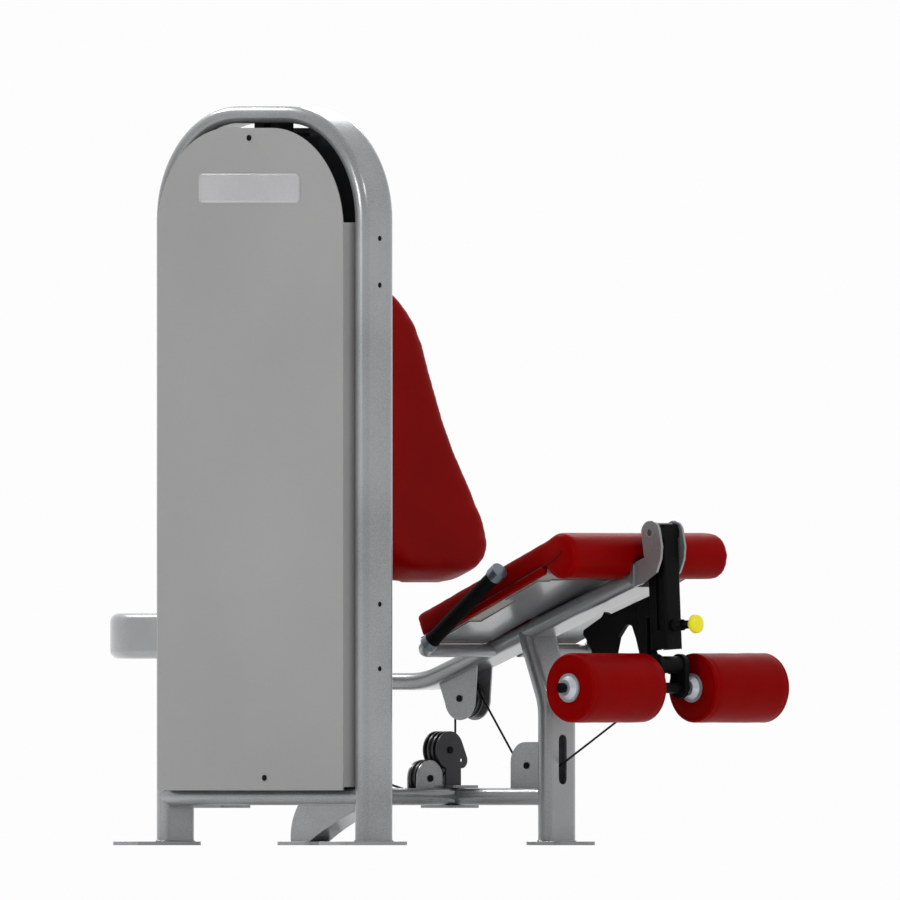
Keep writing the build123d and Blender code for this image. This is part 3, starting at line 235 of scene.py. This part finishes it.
def make_materials():
    light_edge = (0.42, 0.44, 0.46)
    return {
        "frame_paint": surface("frame_paint", (0.34, 0.353, 0.36), (0.125, 0.131, 0.137), 0.3,
                               metallic=0.5, grain=0.25, grain_size=800, mottle=3, coat=0.5,
                               wear=light_edge, fleck=0.75),
        "panel_paint": surface("panel_paint", (0.305, 0.305, 0.302), (0.262, 0.262, 0.26), 0.5,
                               grain=0.25, grain_size=1100, mottle=2, specular=0.2),
        # Painted shade: guard_dark takes the dark grey of the tower's shaded inside, not a paint colour of its
        # own.
        "guard_dark": surface("guard_dark", (0.045, 0.048, 0.052), (0.025, 0.027, 0.03), 0.5,
                              grain=0.3, grain_size=1100, specular=0.1),
        "badge": surface("badge", (0.5, 0.5, 0.51), (0.4, 0.4, 0.41), 0.3, metallic=0.5,
                         grain=0.1, grain_size=600, coat=0.2),
        "vinyl": surface("vinyl", (0.25, 0.0001, 0.0001), (0.185, 0, 0), 0.4, grain=0.5,
                         grain_size=900, mottle=5, cells=True, specular=0.03),
        "black_metal": surface("black_metal", (0.0065, 0.0065, 0.007), (0.003, 0.003, 0.0034),
                               0.4, grain=0.3, grain_size=1300, specular=0.05,
                               wear=(0.014, 0.014, 0.015)),
        "dark_metal": surface("dark_metal", (0.055, 0.057, 0.06), (0.03, 0.031, 0.034), 0.4,
                              metallic=0.4, grain=0.25, grain_size=1300, specular=0.3,
                              wear=(0.12, 0.12, 0.125)),
        "bright_steel": surface("bright_steel", (0.42, 0.43, 0.45), (0.24, 0.25, 0.27), 0.3,
                                metallic=1, grain=0.15, grain_size=500),
        "chrome": surface("chrome", (0.7, 0.71, 0.73), (0.5, 0.51, 0.54), 0.12, metallic=1,
                          rough_span=0.04),
        "cap_alu": surface("cap_alu", (0.6, 0.63, 0.67), (0.42, 0.45, 0.49), 0.28,
                           metallic=0.6, grain=0.12, grain_size=700),
        "handle_cap": surface("handle_cap", (0.2, 0.238, 0.275), (0.12, 0.145, 0.17), 0.32,
                              metallic=0.8, grain=0.12, grain_size=700, wear=light_edge),
        "grip": surface("grip", (0.006, 0.006, 0.0065), (0.003, 0.003, 0.003), 0.7, grain=0.6,
                        grain_size=900, specular=0.05),
        "bumper": surface("bumper", (0.01, 0.01, 0.01), (0.005, 0.005, 0.005), 0.8, grain=0.4,
                          specular=0.2),
        "yellow": surface("yellow", (0.92, 0.85, 0.012), (0.8, 0.72, 0.008), 0.3, grain=0.05,
                          coat=0.2, specular=0.3),
        "pulley": surface("pulley", (0.05, 0.051, 0.053), (0.024, 0.025, 0.026), 0.36,
                          metallic=0.25, grain=0.2, specular=0.4),
        "cable": surface("cable", (0.008, 0.008, 0.009), (0.004, 0.004, 0.005), 0.4, grain=0.5,
                         grain_size=700, specular=0.25),
        "weights": surface("weights", (0.04, 0.04, 0.042), (0.018, 0.018, 0.019), 0.5,
                           metallic=0.3, grain=0.5, grain_size=500, wear=(0.13, 0.13, 0.14)),
        "board": surface("board", (0.42, 0.41, 0.385), (0.33, 0.315, 0.29), 0.7, grain=0.4,
                         grain_size=260, mottle=30, specular=0.2),
        "bush": surface("bush", (0.03, 0.03, 0.032), (0.015, 0.015, 0.016), 0.5, grain=0.2),
    }


MATERIALS = make_materials()
FINISHES = {  # nodes that are darker than the rest of their slot
    "turn_pulley_bracket": "dark_metal",
    "guard_screws": "black_metal",
    "yoke_axles": "black_metal",
    "pulley_axles": "black_metal",
}


def dress_cad():
    """Every CAD node takes its record slot's finish."""
    for entry in frame["record"]["subparts"]:
        node = NODES[entry["node"]]
        node.data.materials.clear()
        finish = FINISHES.get(entry["node"], entry["material_slot"])
        node.data.materials.append(MATERIALS[finish])


# ------------------------------------------------------------------ mesh helpers
def piece(name, mesh, slot, body, replaced=()):
    """A visible piece: its finish, the body it rides on and the nodes it stands for."""
    thing = bpy.data.objects.new(name, mesh)
    bpy.context.collection.objects.link(thing)
    mesh.materials.clear()
    mesh.materials.append(MATERIALS[slot])
    mesh.shade_smooth()
    if body:
        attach(thing, body)
    if replaced:
        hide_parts(*replaced)
    return thing


def mesh_from(name, bm):
    bmesh.ops.recalc_face_normals(bm, faces=bm.faces)
    mesh = bpy.data.meshes.new(name)
    bm.to_mesh(mesh)
    bm.free()
    return mesh


def lathe(name, start, direction, profile, segments=64):
    """Closed solid of revolution: profile is (distance along, radius), in millimetres."""
    bm = bmesh.new()
    axis = Vector(direction).normalized()
    side = axis.orthogonal().normalized()
    other = axis.cross(side)
    rings = []
    for along, radius in profile:
        centre = start + axis * along / 1000
        if radius < 0.01:
            rings.append([bm.verts.new(centre)])
            continue
        ring = []
        for i in range(segments):
            a = 2 * math.pi * i / segments
            spoke = side * math.cos(a) + other * math.sin(a)
            ring.append(bm.verts.new(centre + spoke * radius / 1000))
        rings.append(ring)
    if len(rings[0]) > 1 and profile[0] != profile[-1]:
        bm.faces.new(rings[0])
        bm.faces.new(reversed(rings[-1]))
    for low, high in zip(rings, rings[1:]):
        for i in range(segments):
            j = (i + 1) % segments
            if len(low) == 1:
                bm.faces.new((low[0], high[i], high[j]))
            elif len(high) == 1:
                bm.faces.new((low[i], low[j], high[0]))
            else:
                bm.faces.new((low[i], low[j], high[j], high[i]))
    if profile[0] == profile[-1]:
        bmesh.ops.remove_doubles(bm, verts=bm.verts, dist=1e-7)
    return mesh_from(name, bm)


def tube(name, points, radius, closed=False, ripple=0.0, sides=10, step=0.0016):
    """A bead or cord along points; ripple swells it like the rings of a weld."""
    if closed:
        points = list(points) + [points[0]]
    path = [Vector(points[0])]
    for a, b in zip(points, points[1:]):
        a, b = Vector(a), Vector(b)
        count = max(1, round((b - a).length / step))
        path += [a.lerp(b, (i + 1) / count) for i in range(count)]
    if closed:
        path.pop()
    bm = bmesh.new()
    rings = []
    total = len(path)
    up = None
    for i, here in enumerate(path):
        before = path[i - 1] if closed or i else here
        after = path[(i + 1) % total] if closed or i < total - 1 else here
        run = (after - before).normalized()
        if up is None:
            up = run.orthogonal().normalized()
        up = (up - run * up.dot(run)).normalized()
        across = run.cross(up)
        r = radius / 1000 * (1 + ripple * math.sin(i * 1.25))
        rings.append([
            bm.verts.new(here + (up * math.cos(t) + across * math.sin(t)) * r)
            for t in (2 * math.pi * k / sides for k in range(sides))])
    pairs = list(zip(rings, rings[1:])) + ([(rings[-1], rings[0])] if closed else [])
    for low, high in pairs:
        for i in range(sides):
            j = (i + 1) % sides
            bm.faces.new((low[i], low[j], high[j], high[i]))
    if not closed:
        bm.faces.new(rings[0])
        bm.faces.new(reversed(rings[-1]))
    return mesh_from(name, bm)


def join_meshes(name, meshes):
    """One mesh out of several, which are used up."""
    bm = bmesh.new()
    for mesh in meshes:
        bm.from_mesh(mesh)
        bpy.data.meshes.remove(mesh)
    return mesh_from(name, bm)


def prism(name, outline, place, low, high, rims):
    """Outline swept from low to high; rims are the bevel widths at the two ends, in mm."""
    bm = bmesh.new()
    ends = [[bm.verts.new(place(u, v, w)) for u, v in outline] for w in (low, high)]
    faces = [bm.faces.new(ends[0]), bm.faces.new(reversed(ends[1]))]
    count = len(outline)
    for i in range(count):
        j = (i + 1) % count
        bm.faces.new((ends[0][j], ends[0][i], ends[1][i], ends[1][j]))
    bmesh.ops.recalc_face_normals(bm, faces=bm.faces)
    for face, width in zip(faces, rims):
        bmesh.ops.bevel(bm, geom=list(face.edges), offset=width / 1000, segments=5,
                        profile=0.5, affect="EDGES", clamp_overlap=True)
    return mesh_from(name, bm)


def cut(mesh, cutter):
    """Takes the cutter mesh away from mesh."""
    body = bpy.data.objects.new("cut_body", mesh)
    tool = bpy.data.objects.new("cut_tool", cutter)
    for thing in (body, tool):
        bpy.context.collection.objects.link(thing)
    change = body.modifiers.new("cut", "BOOLEAN")
    change.object = tool
    change.operation = "DIFFERENCE"
    change.solver = "EXACT"
    result = bpy.data.meshes.new_from_object(
        body.evaluated_get(bpy.context.evaluated_depsgraph_get()))
    for thing in (body, tool):
        bpy.data.objects.remove(thing)
    return result


def stuffed(mesh, voxel, pressure, cap, smooth):
    """Voxel remesh, then a short cloth inflation whose movement is capped, in millimetres."""
    body = bpy.data.objects.new("stuffed", mesh)
    bpy.context.collection.objects.link(body)
    remesh = body.modifiers.new("remesh", "REMESH")
    remesh.mode = "VOXEL"
    remesh.voxel_size = voxel / 1000
    graph = bpy.context.evaluated_depsgraph_get()
    dense = bpy.data.meshes.new_from_object(body.evaluated_get(graph))
    body.modifiers.clear()
    body.data = dense
    rest = [v.co.copy() for v in dense.vertices]
    cloth = body.modifiers.new("cloth", "CLOTH")
    settings = cloth.settings
    settings.quality = 4
    settings.use_pressure = True
    settings.uniform_pressure_force = pressure
    settings.effector_weights.gravity = 0
    settings.tension_stiffness = 40
    settings.compression_stiffness = 40
    settings.bending_stiffness = 8
    scene = bpy.context.scene
    for number in range(1, 17):
        scene.frame_set(number)
    graph = bpy.context.evaluated_depsgraph_get()
    moved = [v.co.copy() for v in body.evaluated_get(graph).to_mesh().vertices]
    body.modifiers.clear()
    scene.frame_set(1)
    for vertex, old, new in zip(dense.vertices, rest, moved):
        step = new - old
        if step.length > cap / 1000:
            step = step.normalized() * cap / 1000
        vertex.co = old + step
    bm = bmesh.new()
    bm.from_mesh(dense)
    for _ in range(smooth):
        bmesh.ops.smooth_vert(bm, verts=bm.verts, factor=0.5, use_axis_x=True,
                              use_axis_y=True, use_axis_z=True)
    bpy.data.objects.remove(body)
    return mesh_from("stuffed", bm)


# ------------------------------------------------------------------ seat
SEAT_ANGLE = math.radians(22.6)
SEAT_HALF = 240.0
SEAT_REAR = (540.0, 503.0)  # upper rear edge
SEAT_SOLE = -50.6  # underside of the cushion's foam
ROLL = (469.4, -49.9, 50.5)  # front roll: distance up the seat, height off its top, radius


def seat_point(along, up, x):
    """along runs up the seat from its rear edge, up is off its top face."""
    y = SEAT_REAR[0] - along * math.cos(SEAT_ANGLE) + up * math.sin(SEAT_ANGLE)
    z = SEAT_REAR[1] + along * math.sin(SEAT_ANGLE) + up * math.cos(SEAT_ANGLE)
    return at(x, y, z)


def arc(cx, cy, r, start, end, count):
    """Points of a circle between two angles in degrees."""
    return [(cx + r * math.cos(math.radians(start + (end - start) * i / count)),
             cy + r * math.sin(math.radians(start + (end - start) * i / count)))
            for i in range(count + 1)]


def seat_cutter():
    """Room under the seat for the beam and the knee bracket."""
    outline = [(20, 480), (20, 634), (60, 634), (60, 608), (575, 429), (575, 330)]
    return prism("notch", outline, lambda u, v, w: at(w, u, v), -52, 52, ())


def make_seat():
    """Foam with its front roll, the wrapped board under it, and the seam between them."""
    cushion = [(2, SEAT_SOLE)] + arc(8, -6, 6, 180, 90, 4) + [(420, 0)]
    cushion += arc(*ROLL, 90, -180, 28) + [(405, SEAT_SOLE)]
    top = prism("seat_cushion", cushion, seat_point, -SEAT_HALF + 2, SEAT_HALF - 2, (6, 6))
    top = stuffed(cut(top, seat_cutter()), 6.5, 3.0, 3, 2)
    pad = piece("seat_cushion", top, "vinyl", "frame", ("seat_pad",))

    base = [(4, -66.6), (2, -62), (2, -55), (4, -51.4), (405, -51.4), (409, -55), (409, -62),
            (405, -66.6)]
    wrap = prism("seat_wrap", base, seat_point, -SEAT_HALF + 2, SEAT_HALF - 2, (3, 3))
    wrap = cut(wrap, seat_cutter())
    piece("seat_wrap", wrap, "vinyl", "frame")

    seams = []
    for x in (-SEAT_HALF + 0.6, SEAT_HALF - 0.6):
        seam = [seat_point(along, up, x) for along, up in (
            (3, -52), (140, -52), (290, -52), (420, -52), (450, -51), (468, -48), (477, -43))]
        seams.append(tube("seam", seam, 1.0, sides=8, step=0.006))
    piece("seat_seam", join_meshes("seat_seam", seams), "bumper", "frame")


# ------------------------------------------------------------------ back pad
BACK_ANGLE = math.radians(22)
BACK_THICK = 84.0
BACK_FRONT = (708.0, 663.0)  # a point of the front face
BACK_WIDTHS = (  # height up the pad, half width there
    (-65, 54), (-62, 88), (-52, 120), (-32, 149), (0, 170), (60, 175), (135, 164), (222, 146),
    (300, 140), (400, 141), (480, 144), (525, 137), (555, 125), (582, 108), (604, 88),
    (624, 62), (638, 34))


def back_point(across, up, depth):
    """up runs up the pad's face and depth goes rearward into the pad."""
    y = BACK_FRONT[0] + up * math.sin(BACK_ANGLE) + depth * math.cos(BACK_ANGLE)
    z = BACK_FRONT[1] + up * math.cos(BACK_ANGLE) - depth * math.sin(BACK_ANGLE)
    return at(across, y, z)


def make_back():
    outline = [(w, h) for h, w in BACK_WIDTHS] + [(-w, h) for h, w in reversed(BACK_WIDTHS)]
    shape = prism("back_cushion", outline, back_point, 1, BACK_THICK, (9, 3))
    shape = stuffed(shape, 7, 4.0, 4, 4)
    pad = piece("back_cushion", shape, "vinyl", "back_carriage", ("back_pad",))


# ------------------------------------------------------------------ rollers, grips and knobs
def make_rollers():
    """Foam skins: a flat end, a welted rim, and a side that swells a little unevenly."""
    for name in ("roller_left", "roller_right"):
        low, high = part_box(name + "_pad")
        middle = (low + high) / 2
        length = (high.x - low.x) * 1000
        radius = (high.z - low.z) * 500
        profile = [(1.5, 17.2), (1.5, 34), (0.8, 38), (0.4, radius - 12), (1.1, radius - 8.4)]
        for k in range(7):
            a = math.radians(180 - 15 * k)
            profile.append((7.4 + 7 * math.cos(a), radius - 7 + 7 * math.sin(a)))
        profile += [(9, radius - 0.7), (11, radius + 0.1), (length / 2, radius + 0.3)]
        profile += [(length - s, r) for s, r in reversed(profile[:-1])]
        start = Vector((low.x, middle.y, middle.z))
        mesh = lathe(name + "_skin", start, (1, 0, 0), profile + [profile[0]], 96)
        bm = bmesh.new()
        bm.from_mesh(mesh)
        bmesh.ops.subdivide_edges(
            bm, edges=[e for e in bm.edges if e.calc_length() > 0.03], cuts=6,
            use_grid_fill=True)
        for vertex in bm.verts:
            spoke = Vector((0, vertex.co.y - middle.y, vertex.co.z - middle.z))
            if spoke.length > 0.06:
                swell = noise.noise(vertex.co * 22) * 0.0009
                vertex.co += spoke.normalized() * swell
        skin = piece(name + "_skin", mesh_from(name + "_skin", bm), "vinyl", name,
                     (name + "_pad",))


def make_grips():
    """Ribbed rubber sleeves between two collars."""
    (y0, z0), (y1, z1) = HANDLE_START, HANDLE_END
    run = Vector((0, y1 - y0, z1 - z0))
    length = run.length
    run.normalize()
    meshes = []
    for sign in (-1, 1):
        profile = [(0, 11.1), (0, 16.6), (2, 17.6), (6, 17.6), (9, 16.2)]
        span = length - 64.4
        along = 12.0
        while along < span - 13:
            profile += [(along, 15.6), (along + 0.8, 16.3), (along + 2.6, 16.3),
                        (along + 3.4, 15.6)]
            along += 4.4
        profile += [(span - 9, 16.2), (span - 6, 17.6), (span - 2, 17.6), (span, 16.6),
                    (span, 11.1)]
        base = at(sign * HANDLE_X, y0, z0) + run * 0.0402
        meshes.append(lathe("grip", base, run, profile + [profile[0]], 40))
    grips = piece("grips", join_meshes("grips", meshes), "grip", "frame", ("handle_grips",))


def make_knobs():
    """Both spring plungers: a pulled stem and knob, and the barrel that holds them."""
    ahead = Vector((0, -math.cos(LEVER_LEAN), math.sin(LEVER_LEAN)))
    down = Vector((0, -math.sin(LEVER_LEAN), -math.cos(LEVER_LEAN)))
    lever_start = (at(0, 0, KNEE_HEIGHT) + ahead * PLUNGER_FACE / 1000
                   + down * PLUNGER_DROP / 1000)
    low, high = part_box("back_pop_pin")
    back_start = Vector(((low.x + high.x) / 2, (low.y + high.y) / 2, low.z))
    plungers = (
        ("lever_pop_pin", "lever_pin", "lever", lever_start, ahead, 56, 1.0, 27),
        ("back_pop_pin", "back_pin", "frame", back_start, Vector((0, 0, 1)), 46, 6.5, 24),
    )
    for node, body, holder, start, direction, reach, seat, top in plungers:
        stem = [(0, 0), (0, 6.4), (1.2, 7.4), (top - 3, 7.5), (top - 3, 9.3), (reach - 6, 9.3),
                (reach - 6, 7.3), (reach - 2, 7.3), (reach - 2, 0)]
        piece(node + "_stem", lathe("stem", start, direction, stem, 40), "black_metal", body,
              (node,))
        knob = [(reach - 6, 0), (reach - 6, 10), (reach - 4, 11.5), (reach, 12.5),
                (reach + 3, 15), (reach + 5, 19.2), (reach + 7.5, 20.8), (reach + 11, 21),
                (reach + 15, 20), (reach + 18.5, 16.5), (reach + 20.5, 11), (reach + 21.8, 5),
                (reach + 22, 0)]
        piece(node + "_knob", lathe("knob", start, direction, knob, 64), "yellow", body)
        barrel = [(seat, 9.8), (seat, 13.6), (seat + 5, 13.6), (seat + 5, 12.4),
                  (top - 1.5, 12.4), (top, 11.2), (top, 9.8)]
        piece(node + "_barrel", lathe("barrel", start, direction, barrel + [barrel[0]], 40),
              "black_metal", holder)


# ------------------------------------------------------------------ welds and small hardware
def oval_loop(centre, u, v):
    """Line just outside the flat oval tube's outline, its width along u."""
    r = TUBE_HEIGHT / 2 + 0.8
    half = (TUBE_WIDTH - TUBE_HEIGHT) / 2
    points = []
    for sign, start in ((1, -90), (-1, 90)):
        for i in range(13):
            a = math.radians(start + 15 * i)
            points.append(centre + u * (sign * half + r * math.cos(a)) / 1000
                          + v * r * math.sin(a) / 1000)
    return points


def make_welds():
    """Beads round the foot of each leg, the mast and the hoop."""
    X, Y, Z = Vector((1, 0, 0)), Vector((0, 1, 0)), Vector((0, 0, 1))
    loops = [oval_loop(at(TOWER_X, y, PLATE_TOP), X, Y) for y in TOWER_LEGS]
    loops += [
        oval_loop(at(0, POST_Y, PLATE_TOP), X, Y),
        oval_loop(at(0, MAST_Y, BASE_TOP), X, Y),
        oval_loop(at(TOWER_X, TOWER_LEGS[1] + TUBE_HEIGHT / 2 + 0.6, HOOP_HEIGHT), Z, X),
    ]
    beads = [tube("weld", loop, 2.1, closed=True, ripple=0.13) for loop in loops]
    piece("welds", join_meshes("welds", beads), "frame_paint", "frame")


def make_guard_hem():
    """Rolled edge of the outer guard's front side."""
    low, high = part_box("outer_guard")
    hem = [Vector((low.x + 0.0012, low.y + 0.001, z)) for z in (low.z + 0.002, GUARD_HEM_TOP)]
    piece("guard_hem", tube("hem", hem, 1.5, sides=12, step=0.05), "panel_paint", "frame")


def make_slide_cap():
    """Plastic plug in the open end of the back pad's slide tube."""
    low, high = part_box("back_carriage")
    centre = Vector(((low.x + high.x) / 2, high.y, SLIDE_HEIGHT / 1000))

    def place(u, v, w):
        return centre + Vector((u, w, v)) / 1000

    def square(half, radius):
        return [(sx * (half - radius) + radius * math.cos(math.radians(a + 15 * k)),
                 sy * (half - radius) + radius * math.sin(math.radians(a + 15 * k)))
                for sx, sy, a in ((1, 1, 0), (-1, 1, 90), (-1, -1, 180), (1, -1, 270))
                for k in range(7)]

    head = prism("head", square(24.6, 4), place, 0.1, 4, (0, 2))
    plug = prism("plug", square(21, 2), place, -14, 0.1, (1, 0))
    piece("slide_cap", join_meshes("slide_cap", [head, plug]), "bumper", "back_carriage")


def make_badge():
    """Blank plate with a raised border."""
    low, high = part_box("badge_plate")
    y0, y1, z0, z1 = low.y, high.y, low.z, high.z
    x = low.x

    def plate(u, v, w):
        return Vector((x + w / 1000, u, v))

    def rounded(inset, radius):
        r = radius / 1000
        i = inset / 1000
        corners = ((y1 - i - r, z1 - i - r, 0), (y0 + i + r, z1 - i - r, 90),
                   (y0 + i + r, z0 + i + r, 180), (y1 - i - r, z0 + i + r, 270))
        return [(cy + r * math.cos(math.radians(a + 15 * k)),
                 cz + r * math.sin(math.radians(a + 15 * k)))
                for cy, cz, a in corners for k in range(7)]

    face = prism("badge", rounded(0, 12), plate, 0.35, 1.5, (0.3,))
    border = [Vector((x + 0.0003, u, v)) for u, v in rounded(3.4, 8.6)]
    rim = tube("rim", border, 0.7, closed=True, sides=8, step=0.004)
    piece("badge_face", join_meshes("badge_face", [face, rim]), "badge", "frame",
          ("badge_plate",))


# ------------------------------------------------------------------ moving cable runs
def make_cables():
    """The run that follows the lever, and the run that shortens as the stack rises."""
    low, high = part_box("cable_lever_run")
    middle = low.x + CABLE_R / 1000
    ahead = Vector((middle, low.y + 0.0012, high.z - 0.0021))
    behind = Vector((middle, high.y - 0.0012, low.z + 0.0021))
    run = tube("cable_lever", [ahead, behind], CABLE_R, sides=12, step=0.006)
    lever_run = piece("cable_lever", run, "cable", None, ("cable_lever_run",))
    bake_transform(lever_run)

    low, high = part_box("cable_stack_run")
    middle = (low + high) / 2
    top = Vector((middle.x, middle.y, high.z))
    bottom = Vector((middle.x, middle.y, low.z))
    run = tube("cable_stack", [bottom, top], CABLE_R, sides=12, step=0.02)
    stack_run = piece("cable_stack", run, "cable", "frame", ("cable_stack_run",))
    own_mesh(stack_run)


def main():
    add_camera()
    add_studio()
    dress_cad()
    make_seat()
    make_back()
    make_rollers()
    make_grips()
    make_knobs()
    make_welds()
    make_guard_hem()
    make_slide_cap()
    make_badge()
    make_cables()


main()
